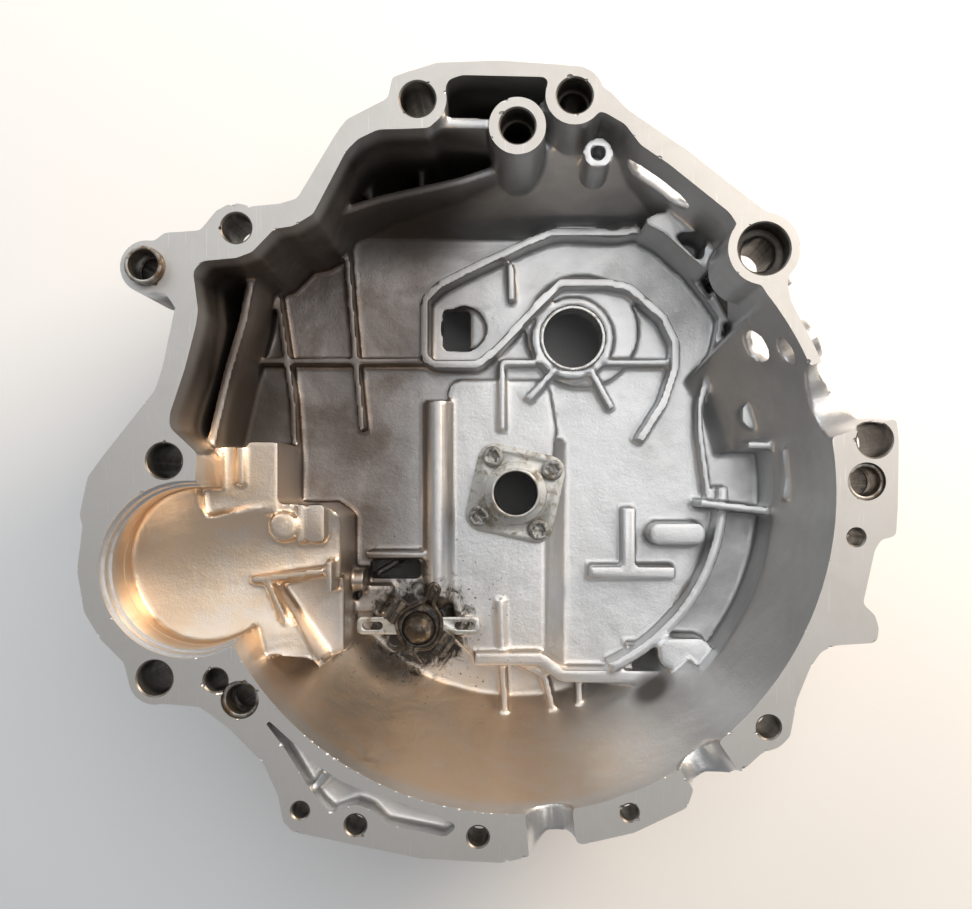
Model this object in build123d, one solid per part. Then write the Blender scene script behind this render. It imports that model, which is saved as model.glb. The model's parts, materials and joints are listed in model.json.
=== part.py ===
"""Clutch bell housing of a lengthwise gearbox, lying on its rear joint face.

The frame has +Z up, out of the engine joint face, and its origin on the input
shaft axis in the rear joint face. Outlines are places in a straight-down view
of the engine joint face, in pixels. spot() turns them into millimetres, and
allows for the view's perspective at the depth where each outline lies.
"""

from build123d import *
import math
import os

# Driving sizes of the casting
bell_radius = 150.0
overall_height = 170.0
wall = 5.0
flange_thickness = 13.0
floor_depth = 105.0
floor_thickness = 8.0
bowl_curve_radius = 168.0
overrun = 2.0

# The view that the outlines are read in
axis_px = (515.6, 493.2)
bell_radius_px = 321.0
eye_height = 525.0

# Engine joint flange
outline_corner = 2.5
cavity_corner = 4.0
hole_chamfer = 0.8
corner_room_share = 0.45
flange_px = [
    (392, 77), (437, 62.5), (500, 60.5), (568, 65), (590, 80), (611, 92), (627, 109),
    (690, 152), (724, 179), (764, 210), (790, 235), (788, 285), (791, 301), (812, 341),
    (823, 364), (836, 379), (868, 419), (884, 416.5), (897, 420), (899, 441), (898, 507),
    (896, 536), (881, 540), (875, 550), (863, 604), (875, 615), (879, 628), (877, 643),
    (835, 645.5), (821, 652), (810, 668), (797, 700), (790, 737), (778, 748), (762, 753),
    (734, 779), (710, 779), (695, 786), (687, 808), (634, 833), (581, 845), (569, 837),
    (547, 839), (534, 856), (501, 863), (421, 858.5), (293, 832), (283, 822), (278, 795),
    (263, 763), (229, 728.5), (200, 707), (153, 703), (138, 698), (129, 684), (124, 663),
    (100, 639), (84, 612), (77, 570), (82.5, 526), (79.5, 515), (87.6, 477), (102, 457),
    (155, 390), (163, 365), (175, 307), (165, 293), (147, 290), (130, 266), (147, 246),
    (165, 232.5), (200, 230.5), (217, 209.5), (279, 203.7), (297, 198.5), (338, 130),
    (347, 119), (388, 98),
]
cavity_px = [
    (729, 212), (669, 164), (641, 145), (625, 124), (606, 113), (575, 104), (549, 84),
    (546, 77), (462, 75), (447, 80), (443, 108), (430, 128), (378, 129.5), (358, 139),
    (346, 151), (313, 214), (293, 226), (274, 229), (252, 252), (236, 258), (202, 261),
    (193, 271), (198, 310), (196, 325), (185, 368), (170, 413), (169, 427), (199, 455),
    (200.5, 490), (230, 560), (390, 640), (600, 500), (770, 300), (750, 262), (736, 222),
]

# Starter nose recess, with its stepped rim, and the dished shelf behind it
starter_px = (187.3, 569.6)
starter_radius = 41.6
starter_rim_depth = 4.5
starter_rim_step = 1.6
starter_ledge_depth = 10.0
starter_ledge_step = 1.4
starter_cut_depth = 60.0
starter_shell_depth = 60.0
shelf_px = [
    (90, 470), (199, 478), (205, 517), (278, 503), (322, 505), (337, 515), (337, 664),
    (310, 656), (262, 652), (200, 668), (90, 668),
]
shelf_edge_depth = 27.0
plateau_px = [
    (217, 446), (246, 446), (250, 441), (278, 441), (278, 512), (205, 526), (190, 500),
    (197, 478), (217, 478),
]
plateau_depth = 40.0
dish_radius = 68.0
dish_start_px = (112, 596)
dish_start_depth = 37.0
dish_end_px = (337, 552)
dish_end_depth = 49.0
shelf_pocket_px = [(272, 586), (322, 577), (345, 580), (345, 668), (325, 662)]
shelf_pocket_depth = 60.0
shelf_rib_top = 38.0
shelf_ribs_px = [
    [(250, 581), (322, 571)],
    [(266, 580), (285, 622), (297, 640), (322, 666)],
    [(301, 504), (301, 543)],
    [(219, 446), (219, 484)],
    [(240, 446), (240, 484)],
    [(329, 561), (329, 592)],
]
shelf_block_px = [(306, 503), (325, 503), (325, 543), (306, 543)]
under_pocket_px = [(264, 506), (326, 510), (326, 648), (296, 628), (264, 560)]
under_pocket_depth = 68.0

# Bolt holes in the joint face, with each hole's radius, boss radius and boss
# length as shares of the three sizes
bolt_hole_radius = 8.2
bolt_boss_radius = 13.6
bolt_boss_length = 58.0
bolt_px = {
    "top_left": (417.5, 98.9), "top_middle": (517.5, 125.5), "top_right": (574.8, 95.1),
    "left_upper": (236.1, 227.9), "left_waist": (164.0, 460.9),
    "left_lower": (154.5, 678.5), "left_small": (215.5, 680.4),
    "bottom_a": (300.0, 810.6), "bottom_b": (355.5, 825.2), "bottom_c": (478.0, 836.9),
    "bottom_d": (629.8, 812.9), "right_low": (768.9, 727.4), "right_small": (856.5, 537.3),
    "right_ear": (875.0, 439.8), "right_upper": (764.5, 248.4),
}
bolt_shares = {
    "top_left": (1.00, 1.00, 1.00), "top_middle": (1.00, 0.99, 1.28),
    "top_right": (1.00, 1.01, 1.14), "left_upper": (0.84, 0.85, 0.71),
    "left_waist": (1.00, 0.88, 0.97), "left_lower": (1.00, 0.90, 0.90),
    "left_small": (0.66, 0.66, 0.68), "bottom_a": (0.48, 0.56, 0.45),
    "bottom_b": (0.59, 0.65, 0.53), "bottom_c": (0.59, 0.63, 0.53),
    "bottom_d": (0.48, 0.62, 0.45), "right_low": (0.66, 0.75, 0.63),
    "right_small": (0.48, 0.56, 0.48), "right_ear": (1.00, 0.81, 0.90),
    "right_upper": (1.00, 1.25, 0.97),
}
counterbored_bolts = ("right_upper",)
counterbore_radius = 12.0
counterbore_depth = 13.5
stepped_bolts = ("top_middle", "top_right")
step_hole_radius = 6.2
step_depth = 16.5
tapped_boss_px = (598.3, 152.6)
tapped_boss_radius = 7.4
tapped_hole_radius = 3.4
tapped_boss_depth = 14.0
tapped_hole_length = 18.0

# Dowel sleeves in the joint face
dowel_radius = 8.9
dowel_bore_radius = 6.888
dowel_length = 20.0
dowel_stand = 5.5
dowel_sink = 2.0
dowel_boss_radius = 12.4
dowel_boss_length = 54.0
dowel_px = {
    "dowel_sleeve_upper_left": (146.4, 266.8),
    "dowel_sleeve_lower_left": (239.7, 700.0),
    "dowel_sleeve_right": (867.0, 481.5),
}
standing_dowels = ("dowel_sleeve_upper_left",)

# Half-round channels across the flange
small_channel_radius = 11.2
small_channel_bottom = 12.7
large_channel_radius = 17.5
large_channel_bottom = 19.0
channel_rows = [
    ((550, 825), small_channel_radius, small_channel_bottom),
    ((702, 760), small_channel_radius, small_channel_bottom),
    ((826, 400), large_channel_radius, large_channel_bottom),
]
channel_wall = 5.0

# Slot between the bell wall and the flange rim, with a web across it
slot_px = [
    (262, 719), (270, 721.7), (300, 749), (320, 767.6), (341, 781.4), (364, 790.6),
    (444, 818), (458, 826), (446, 837), (385, 824), (372, 810), (356, 804), (340, 809),
    (331, 813), (320, 802), (306, 783), (283, 746),
]
slot_body_px = [
    (236, 712), (262, 700), (330, 742), (400, 784), (470, 806), (476, 850), (400, 860),
    (290, 860), (262, 800),
]
slot_corner = 1.6
slot_depth = 12.0
slot_web_px = [(308, 795), (333, 766)]
slot_web_width = 3.6
slot_web_top = 4.0

# Holes through the right side of the bell wall, the upper one in a boss
low_side_hole_px = (752.2, 349.2)
low_side_hole_radius = 8.6
low_side_hole_depth = 47.0
high_side_hole_px = (787.0, 350.6)
high_side_hole_radius = 7.0
high_side_hole_depth = 22.0
wall_hole_reach = 24.0
side_hole_boss_radius = 10.5
side_hole_boss_reach = 13.0
side_window_px = (661, 181)
side_window_angle = 50.0
side_window_length = 38.0
side_window_radius = 9.0
side_window_depth = 37.0
side_window_reach = 20.0

# Walls and ribs that stand inside, by the depth of their tops
tall_wall_top = 47.0
tall_wall_width = 4.4
tall_walls_px = [
    [(258, 240), (243, 320), (228, 370), (215, 425), (205, 470)],
    [(325, 217), (380, 199), (460, 181), (505, 166)],
]
web_top = 10.0
web_width = 5.0
webs_px = [
    [(430, 122), (505, 123.5)],
    [(540, 108), (560, 100)],
]
deep_web_top = 66.0
deep_web_width = 3.6
deep_webs_px = [
    [(420.5, 120), (421.5, 192)],
    [(372, 128), (370, 200)],
]
loop_top = 86.0
loop_width = 4.6
loop_corner = 5.0
loop_px = [
    (640, 229), (616, 233), (566, 231), (550, 233), (525, 243), (467, 270), (440, 284),
    (425, 298), (424.5, 358), (434, 364), (478, 364), (498, 348), (543, 299), (562, 282),
    (606, 281.8), (630, 287), (664, 317), (676, 342), (676, 366), (664, 402), (640, 440),
]
rib_top = 93.0
rib_width = 3.4
rib_corner = 6.0
floor_ribs_px = [
    [(268, 240), (286, 358), (292, 400), (296, 470)],
    [(343, 216), (355, 358), (362, 430)],
    [(214, 361), (424, 361)],
    [(502, 364), (502, 430)],
    [(536, 362), (500, 362)],
    [(556, 368), (528, 400)],
    [(590, 368), (612, 408)],
    [(606, 362), (672, 362)],
    [(510, 262), (512, 300)],
    [(684, 262), (722, 318), (717, 345), (708, 371), (700, 406), (700, 430), (710, 505)],
    [(672, 252), (720, 312)],
    [(710, 262), (742, 300)],
    [(713, 363), (762, 364)],
    [(500, 600), (506, 742)],
    [(579, 684), (580, 742)],
    [(629.5, 644), (630, 722)],
    [(520, 664), (545, 676), (552, 707), (566, 720)],
]
ledge_width = 4.2
ledge_rows = [
    ([(786, 450), (789, 475), (787, 500)], 53.0),
    ([(700, 503), (776, 512)], 76.0),
    ([(748, 445), (778, 446)], 64.0),
]
ridge_top = 88.0
ridge_width = 7.0
ridges_px = [
    [(474, 660), (540, 659), (562, 676), (676, 678)],
    [(590, 572.5), (676, 573)],
    [(629.5, 508), (629.5, 574)],
]
side_pocket_radius = 136.0
side_pocket_width = 30.0
side_pocket_from = -44.0
side_pocket_to = 11.0
side_pocket_top = 55.0
inner_arc_radius = 104.0
inner_arc_centre_px = (532, 493.2)
inner_arc_width = 5.5
inner_arc_top = 84.0
inner_arc_from = -66.0
inner_arc_to = 2.0
low_arc_radius = 121.0
low_arc_width = 3.0
low_arc_top = 97.0
low_arc_from = -124.0
low_arc_to = -72.0

# Soft shelf between the upper bosses and the loop, sloping down to the loop
apron_px = [
    (330, 222), (380, 200), (505, 170), (560, 120), (640, 140), (700, 190), (735, 225),
    (700, 250), (640, 236), (550, 240), (470, 276), (430, 300), (345, 330),
]
apron_top_depth = 44.0
apron_top_px = (560, 150)
apron_foot_px = (520, 240)
gusset_shelf_px = [(640, 221), (659, 212), (738, 212), (750, 246), (706, 270), (664, 233)]
gusset_shelf_top = 58.0
gusset_pocket_px = [(671, 232), (708, 232), (702, 264)]
gusset_pocket_depth = 84.0

# Raised centre that carries the guide sleeve, with a sloping right side
centre_top = 95.0
centre_px = [
    (448, 380), (548, 380), (556, 430), (546, 520), (545, 655), (520, 664), (478, 660),
    (456, 640), (448, 560),
]
centre_corner = 8.0
centre_slope_run = 13.0
centre_slope_from_px = (543, 440)
centre_slope_to_px = (543, 664)
oil_ridge_px = [(437, 400), (437, 596)]
oil_ridge_radius = 8.0
oil_ridge_top = 88.0

# Bosses inside
shelf_boss_px = (283, 527)
shelf_boss_radius = 7.2
shelf_boss_top = 36.0
lug_px = (755, 415)
lug_radius = 7.6
lug_top = 74.0
long_boss_top = 82.0
narrow_boss_px = [(661, 534), (695, 534)]
narrow_boss_width = 12.5
wide_boss_px = [(674, 654), (696, 654)]
wide_boss_width = 17.5
cross_boss_px = (351, 580)
cross_boss_radius = 6.0
cross_boss_length = 15.0
cross_boss_depth = 88.0
ramp_px = [(368, 585), (396, 585), (380, 612), (350, 612)]
ramp_top = 95.0

# Shaft bores and windows in the floor
shaft_bore_px = (572.9, 338)
sleeve_bore_radius = 16.1
sleeve_wall = 2.0
shaft_boss_radius = 22.5
shaft_boss_top = 94.0
shaft_step_px = (582, 331)
shaft_step_radius = 31.0
shaft_step_top = 99.0
window_px = (464, 329)
window_radius = 12.6
window_recess = 4.0
window_open_px = [(443, 310), (470, 310), (470, 350), (443, 350)]
window_low_px = [(371, 560), (420, 560), (420, 578), (371, 578)]
window_hood_px = [(366, 555), (424, 555)]
window_hood_top = 90.0
hood_width = 3.6
seal_radius = 19.0
seal_length = 7.0
seal_seat = 8.0
shaft_clear_radius = 15.5
bearing_radius = 26.0
bearing_length = 15.0
bearing_wall = 4.5
bearing_boss_radius = 33.0

# Rear joint: outline as shares of the bell radius
rear_outline_shares = [
    (-1.00, -0.36), (-1.02, 0.42), (-0.70, 0.80), (0.08, 0.94), (0.62, 0.76),
    (0.86, 0.30), (0.86, -0.36), (0.48, -0.82), (-0.42, -0.90),
]
rear_corner = 24.0
rear_flange_thickness = 10.0
rear_flange_width = 13.0
rear_lip = 7.0
rear_bolt_radius = 4.2
rear_bolt_boss_radius = 9.0
rear_bolt_boss_height = 30.0
rear_bolt_inset = 7.5
rear_rib_width = 4.0
rear_rib_height = 14.0
rear_rib_count = 6

# Outside gussets between the bell and its flange
gusset_angles = (-100.0, -74.0, -40.0, -20.0, 8.0, 38.0, 70.0)
gusset_width = 5.0
gusset_reach = 12.0
gusset_drop = 74.0

# Clutch release pivot
ball_px = (419, 628)
ball_radius = 8.8
ball_depth = 80.0
neck_radius = 4.6
shank_radius = 5.0
shank_length = 14.0
fit_gap = 0.3
strap_thickness = 2.4
strap_top = 90.2
strap_width = 9.6
strap_corner = 3.2
strap_left_px = (357, 624)
strap_right_px = (480, 624)
strap_eye_radius = 8.6
strap_slot_width = 4.4
strap_slot_length = 11.0
strap_slot_inset = 3.0
pivot_boss_radius = 11.0
strap_pad_radius = 5.0
saddle_top = 79.0
saddle_length = 40.0
saddle_width = 13.0
saddle_corner = 2.2
saddle_angle = -35.0
saddle_cup_radius = 12.4
saddle_notch = 1.6
saddle_notch_depth = 2.4
saddle_notch_shares = (0.30, 0.42)
clip_wire_radius = 1.05
clip_path_px = [
    (393, 649), (404, 645), (399, 634), (397, 621), (410, 608), (427, 596), (434, 584),
    (439, 588), (434, 601), (440, 616), (440, 633), (428, 648), (416, 649), (421, 663),
]

# Guide sleeve over the input shaft and its screws
guide_plate_thickness = 4.5
guide_lobe_radius = 7.7
guide_plate_corner = 1.9
guide_screw_circle = 23.7
guide_first_angle = -58.0
guide_screw_count = 4
guide_tube_radius = 13.0
guide_bore_radius = 11.4
guide_tube_top = 60.0
guide_root_radius = 17.0
guide_root_height = 6.0
screw_head_radius = 5.6
screw_head_height = 4.0
screw_socket_radius = 2.7
screw_socket_lobe = 0.9
screw_lobe_count = 6
screw_socket_depth = 2.4
screw_shank_radius = 3.0
screw_length = 12.0


def spot(px, depth=0.0):
    """The place in millimetres of a pixel in the view, at a depth below the face."""
    scale = bell_radius / bell_radius_px * (1 + depth / eye_height)
    return ((px[0] - axis_px[0]) * scale, (axis_px[1] - px[1]) * scale)


def level(depth):
    """Height above the rear joint face of a depth below the engine joint face."""
    return overall_height - depth


def corner_radii(points, corner):
    """Corner radii, held back where the sides that meet are short or the angle sharp."""
    radii = []
    for i, here in enumerate(points):
        back = Vector(*points[i - 1]) - Vector(*here)
        ahead = Vector(*points[(i + 1) % len(points)]) - Vector(*here)
        half = math.radians(back.get_angle(ahead)) / 2
        room = corner_room_share * min(back.length, ahead.length) * math.tan(half)
        radii.append(min(corner, room))
    return radii


def round_face(points, corner):
    """A face with a closed outline through points, its corners rounded."""
    with BuildSketch() as sketch:
        with BuildLine():
            FilletPolyline(*points, radius=corner_radii(points, corner), close=True)
        make_face()
    return sketch.sketch


def view_face(points_px, corner, depth=0.0):
    return round_face([spot(p, depth) for p in points_px], corner)


def prism(face, top, low):
    """A face stood between two depths below the engine joint face."""
    return extrude(Pos(0, 0, level(low)) * face, amount=low - top)


def post(place, radius, top, low):
    """An upright cylinder between two depths."""
    return prism(Pos(place[0], place[1], 0) * Circle(radius), top, low)


def view_post(px, radius, top, low, at_depth=None):
    return post(spot(px, top if at_depth is None else at_depth), radius, top, low)


def strip_face(points_px, width, depth, corner=0.0):
    """A band of even width along points in the view, read at a depth."""
    places = [spot(p, depth) for p in points_px]
    with BuildLine() as line:
        if corner and len(places) > 2:
            FilletPolyline(*places, radius=corner_radii(places, corner)[1:-1])
        else:
            Polyline(*places)
    return trace(line.wires()[0], width)


def strips(rows_px, width, top, low, corner=0.0):
    return [prism(strip_face(row, width, top, corner), top, low) for row in rows_px]


def ring_sector(centre, radius, width, start, end, top, low):
    """An upright curved rib about a centre, between two angles."""
    arc = CenterArc(centre, radius, start, end - start)
    return prism(trace(arc, width), top, low)


def bowl_radius_at(depth):
    drop = bowl_curve_radius - math.sqrt(bowl_curve_radius ** 2 - depth ** 2)
    return bell_radius - drop


def bowl(extra, low):
    """The bell's inside form, grown by a wall, from depth low up to the face."""
    base = bowl_radius_at(floor_depth) + extra
    middle = bowl_radius_at(floor_depth / 2) + extra
    mouth = bell_radius + extra
    with BuildSketch(Plane.XZ) as sketch:
        with BuildLine():
            Polyline((mouth, level(0)), (0, level(0)), (0, level(low)), (base, level(low)))
            if low > floor_depth:
                Line((base, level(low)), (base, level(floor_depth)))
            ThreePointArc((base, level(floor_depth)), (middle, level(floor_depth / 2)),
                          (mouth, level(0)))
        make_face()
    return revolve(sketch.sketch, axis=Axis.Z)


def radial_pipe(px, radius, depth, inner, outer):
    """A level cylinder on the line from the axis through a place in the view."""
    place = spot(px, depth)
    angle = math.degrees(math.atan2(place[1], place[0]))
    start = Rot(0, 0, angle) * Pos((inner + outer) / 2, 0, level(depth))
    return start * (Rot(0, 90, 0) * Cylinder(radius, outer - inner))


def dish():
    """A large cylinder on a slant, whose underside is the top of the starter shelf."""
    start = spot(dish_start_px, dish_start_depth)
    end = spot(dish_end_px, dish_end_depth)
    low = Vector(start[0], start[1], level(dish_start_depth) + dish_radius)
    high = Vector(end[0], end[1], level(dish_end_depth) + dish_radius)
    along = (high - low).normalized()
    plane = Plane(origin=low - along * dish_radius, z_dir=along)
    return extrude(plane * Circle(dish_radius), amount=(high - low).length + 2 * dish_radius)


def bolt_boss(name):
    """Radius and length of the boss round a bolt hole."""
    hole_share, boss_share, length_share = bolt_shares[name]
    return bolt_boss_radius * boss_share, bolt_boss_length * length_share


def bolt_bosses():
    bosses = []
    for name in bolt_px:
        radius, length = bolt_boss(name)
        bosses.append(view_post(bolt_px[name], radius, 0, length))
    return bosses


def flange_face():
    face = view_face(flange_px, outline_corner)
    for name in bolt_px:
        face += Pos(*spot(bolt_px[name])) * Circle(bolt_boss(name)[0])
    for px in dowel_px.values():
        face += Pos(*spot(px)) * Circle(dowel_boss_radius)
    return face


def rear_face(inset):
    points = [(x * bell_radius, y * bell_radius) for x, y in rear_outline_shares]
    return offset(round_face(points, rear_corner), -inset)


def rear_bolt_places():
    """Bolt places round the rear joint, one by each corner and one along each side."""
    wire = offset(rear_face(0), -rear_bolt_inset).wires()[0]
    count = 2 * len(rear_outline_shares)
    return [wire @ (i / count) for i in range(count)]


def outside_form():
    """The casting's outer form, before it is hollowed."""
    deck = floor_depth + floor_thickness
    parts = [prism(flange_face(), 0, flange_thickness)]
    parts.append(bowl(wall, deck))
    parts.append(prism(offset(view_face(cavity_px, cavity_corner), wall), 0, deck))
    parts.append(view_post(starter_px, starter_radius + wall, 0, starter_shell_depth, 0))
    parts += bolt_bosses()
    for px in dowel_px.values():
        parts.append(view_post(px, dowel_boss_radius, 0, dowel_boss_length))
    slot_body = flange_face() & view_face(slot_body_px, slot_corner)
    parts.append(prism(slot_body, 0, slot_depth + wall))
    for px, radius, bottom in channel_rows:
        parts.append(channel_block(px, radius, bottom))
    parts.append(radial_pipe(high_side_hole_px, side_hole_boss_radius, high_side_hole_depth,
                             bell_radius - wall, bell_radius + side_hole_boss_reach))
    parts += [bell_gusset(angle) for angle in gusset_angles]
    parts.append(side_pocket(wall, deck))
    return parts[0] + parts[1:]


def side_pocket(extra, low):
    """Room low in the right side where the floor runs out under the bell's wall."""
    middle = side_pocket_radius - side_pocket_width / 2 + extra
    turn = math.degrees(extra / side_pocket_radius)
    return ring_sector((0, 0), middle, side_pocket_width, side_pocket_from - turn,
                       side_pocket_to + turn, side_pocket_top + extra, low)


def channel_block(px, radius, bottom):
    """Solid metal round a channel, within the flange outline."""
    centre = spot(px)
    angle = math.degrees(math.atan2(centre[1], centre[0]))
    width = 2 * (radius + channel_wall)
    reach = bell_radius * 2
    bar = Rot(0, 0, angle) * Pos(bell_radius + reach / 2 - wall, 0) * Rectangle(reach, width)
    return prism(flange_face() & bar, 0, bottom + channel_wall)


def bell_gusset(angle):
    """A thin outside rib that runs down from the flange to the deck."""
    foot = bowl_radius_at(floor_depth)
    rim = bell_radius + wall + gusset_reach
    with BuildSketch(Plane.XZ) as sketch:
        with BuildLine():
            Polyline((foot, level(flange_thickness - overrun)),
                     (rim, level(flange_thickness - overrun)),
                     (rim, level(flange_thickness + gusset_reach)),
                     (bowl_radius_at(gusset_drop) + wall + overrun, level(floor_depth)),
                     (foot, level(floor_depth)), close=True)
        make_face()
    rib = extrude(sketch.sketch, amount=gusset_width / 2, both=True)
    return Rot(0, 0, angle) * rib


def rear_form():
    """Skirt and flange of the gearbox side, open to the rear."""
    deck = floor_depth + floor_thickness
    height = overall_height
    skirt = prism(rear_face(rear_lip), floor_depth, height)
    rim = prism(rear_face(0), height - rear_flange_thickness, height)
    body = skirt + rim
    bolts = [post((p.X, p.Y), rear_bolt_boss_radius, height - rear_bolt_boss_height, height)
             for p in rear_bolt_places()]
    inside = prism(rear_face(rear_flange_width), deck, height + overrun)
    hollow = inside - bolts
    ribs = []
    for i in range(rear_rib_count):
        bar = Rectangle(2 * bell_radius, rear_rib_width)
        bar = Rot(0, 0, 180 / rear_rib_count * i) * bar
        ribs.append(prism(bar, deck, deck + rear_rib_height))
    kept = [post((0, 0), bearing_boss_radius, deck, height),
            view_post(shaft_bore_px, shaft_boss_radius + wall, deck,
                      deck + rear_rib_height, shaft_boss_top)]
    return body + bolts, hollow - (ribs + kept)


def standing_features():
    """Walls, ribs, bosses and shelves that stand inside the bell."""
    low = floor_depth + floor_thickness / 2
    parts = strips(tall_walls_px, tall_wall_width, tall_wall_top, low, rib_corner)
    parts += strips(webs_px, web_width, web_top, low)
    parts += strips(deep_webs_px, deep_web_width, deep_web_top, low)
    parts += strips([loop_px], loop_width, loop_top, low, loop_corner)
    parts += strips(floor_ribs_px, rib_width, rib_top, low, rib_corner)
    for row, top in ledge_rows:
        parts += strips([row], ledge_width, top, low, rib_corner)
    parts += strips(ridges_px, ridge_width, ridge_top, low, rib_corner)
    parts += strips([window_hood_px], hood_width, window_hood_top, low)
    parts.append(ring_sector(spot(inner_arc_centre_px, inner_arc_top), inner_arc_radius,
                             inner_arc_width, inner_arc_from, inner_arc_to,
                             inner_arc_top, low))
    parts.append(ring_sector((0, 0), low_arc_radius, low_arc_width, low_arc_from,
                             low_arc_to, low_arc_top, low))
    parts.append(view_post(shelf_boss_px, shelf_boss_radius, shelf_boss_top, low))
    parts.append(view_post(lug_px, lug_radius, lug_top, low))
    parts += bolt_bosses()
    parts.append(view_post(tapped_boss_px, tapped_boss_radius, tapped_boss_depth,
                           apron_top_depth + wall * 2))
    parts.append(view_post(shaft_bore_px, shaft_boss_radius, shaft_boss_top, low))
    parts.append(view_post(shaft_step_px, shaft_step_radius, shaft_step_top, low))
    parts.append(view_post(ball_px, pivot_boss_radius, strap_top + strap_thickness, low,
                           ball_depth))
    parts += strap_pads(low)
    parts.append(cross_boss())
    parts.append(prism(view_face(ramp_px, outline_corner, ramp_top), ramp_top, low))
    parts.append(centre_pad(low))
    parts.append(oil_ridge(low))
    parts.append(apron(low))
    parts.append(gusset_shelf(low))
    parts.append(starter_shelf(low))
    parts += long_boss(narrow_boss_px, narrow_boss_width, low)
    parts += long_boss(wide_boss_px, wide_boss_width, low)
    return parts


def long_boss(row_px, width, low):
    """A boss with round ends along a line in the view."""
    bar = prism(strip_face(row_px, width, long_boss_top), long_boss_top, low)
    return [bar] + [view_post(px, width / 2, long_boss_top, low) for px in row_px]


def starter_shelf(low):
    """High shelf behind the starter recess, dished on top, with ribs and a pocket."""
    shelf = prism(view_face(shelf_px, cavity_corner, dish_start_depth), shelf_edge_depth, low)
    pocket = prism(view_face(shelf_pocket_px, outline_corner, shelf_rib_top), 0,
                   shelf_pocket_depth)
    under = prism(view_face(under_pocket_px, cavity_corner, under_pocket_depth),
                  under_pocket_depth, low)
    shelf = shelf - [dish(), pocket, under]
    ribs = strips(shelf_ribs_px, rib_width, shelf_rib_top, low, rib_corner)
    ribs.append(prism(view_face(shelf_block_px, cavity_corner, shelf_rib_top),
                      shelf_rib_top, low))
    plateau = prism(view_face(plateau_px, outline_corner, plateau_depth), plateau_depth, low)
    return shelf + plateau + ribs


def strap_end_places():
    """Centres of the two ends of the strap, in line through the pivot."""
    left = spot(strap_left_px, strap_top)
    right = spot(strap_right_px, strap_top)
    pivot = spot(ball_px, ball_depth)
    return (left[0], pivot[1]), (right[0], pivot[1])


def strap_pads(low):
    """Short pads that the two ends of the strap lie on."""
    left, right = strap_end_places()
    top = strap_top + strap_thickness
    return [post((left[0] + strap_slot_length, left[1]), strap_pad_radius, top, low),
            post((right[0] - strap_slot_length, right[1]), strap_pad_radius, top, low)]


def cross_boss():
    """A short level cylinder with a solid foot."""
    place = spot(cross_boss_px, cross_boss_depth)
    barrel = Rot(0, 90, 0) * Cylinder(cross_boss_radius, cross_boss_length)
    foot_height = floor_depth - cross_boss_depth
    foot = Pos(0, 0, -foot_height / 2) * Box(cross_boss_length, 2 * cross_boss_radius,
                                             foot_height)
    return Pos(place[0], place[1], level(cross_boss_depth)) * (barrel + foot)


def centre_pad(low):
    """Raised pad about the input shaft, its right side sloping to the floor."""
    pad = prism(view_face(centre_px, centre_corner, centre_top), centre_top, low)
    edge = spot(centre_slope_from_px, centre_top)
    end = spot(centre_slope_to_px, centre_top)
    height = floor_depth - centre_top
    with BuildSketch(Plane.XZ) as sketch:
        with BuildLine():
            Polyline((edge[0] - overrun, level(floor_depth)),
                     (edge[0] - overrun, level(centre_top)), (edge[0], level(centre_top)),
                     (edge[0] + centre_slope_run, level(centre_top) - height),
                     close=True)
        make_face()
    slope = extrude(sketch.sketch, amount=edge[1] - end[1])
    return pad + Pos(0, edge[1], 0) * slope


def oil_ridge(low):
    """Rounded upright ridge along the left side of the raised centre."""
    start = spot(oil_ridge_px[0], oil_ridge_top)
    end = spot(oil_ridge_px[1], oil_ridge_top)
    length = start[1] - end[1]
    barrel = Rot(90, 0, 0) * Cylinder(oil_ridge_radius, length)
    barrel = barrel + Pos(0, -length / 2, 0) * Sphere(oil_ridge_radius)
    centre = (start[0], (start[1] + end[1]) / 2)
    ridge = Pos(centre[0], centre[1], level(oil_ridge_top + oil_ridge_radius)) * barrel
    foot = prism(strip_face(oil_ridge_px, 2 * oil_ridge_radius, oil_ridge_top),
                 oil_ridge_top + oil_ridge_radius, low)
    return ridge + foot


def apron(low):
    """Shelf below the upper bosses, cut by a slope that falls to the loop."""
    shelf = prism(view_face(apron_px, cavity_corner, apron_top_depth), apron_top_depth, low)
    high = spot(apron_top_px, apron_top_depth)
    foot = spot(apron_foot_px, floor_depth)
    with BuildSketch(Plane.YZ) as sketch:
        with BuildLine():
            Polyline((high[1], level(apron_top_depth)), (foot[1], level(floor_depth)),
                     (0, level(floor_depth)), (0, level(apron_top_depth) + overrun),
                     (high[1], level(apron_top_depth) + overrun), close=True)
        make_face()
    slope = extrude(sketch.sketch, amount=2 * bell_radius, both=True)
    return shelf - slope


def gusset_shelf(low):
    """Ledge in the upper right corner, with a three-cornered pocket in it."""
    shelf = prism(view_face(gusset_shelf_px, outline_corner, gusset_shelf_top),
                  gusset_shelf_top, low)
    pocket = prism(view_face(gusset_pocket_px, outline_corner, gusset_shelf_top),
                   gusset_shelf_top - overrun, gusset_pocket_depth)
    return shelf - pocket


def bell_hollow():
    """Everything hollow on the engine side."""
    parts = [bowl(0, floor_depth), post((0, 0), bell_radius, -overrun, 0)]
    parts.append(prism(view_face(cavity_px, cavity_corner), -overrun, floor_depth))
    parts.append(view_post(starter_px, starter_radius, -overrun, starter_rim_depth, 0))
    ledge_radius = starter_radius - starter_rim_step
    parts.append(view_post(starter_px, ledge_radius, 0, starter_ledge_depth, 0))
    parts.append(view_post(starter_px, ledge_radius - starter_ledge_step, 0,
                           starter_cut_depth, 0))
    parts.append(side_pocket(0, floor_depth))
    hollow = parts[0] + parts[1:]
    return hollow - standing_features()


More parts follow.
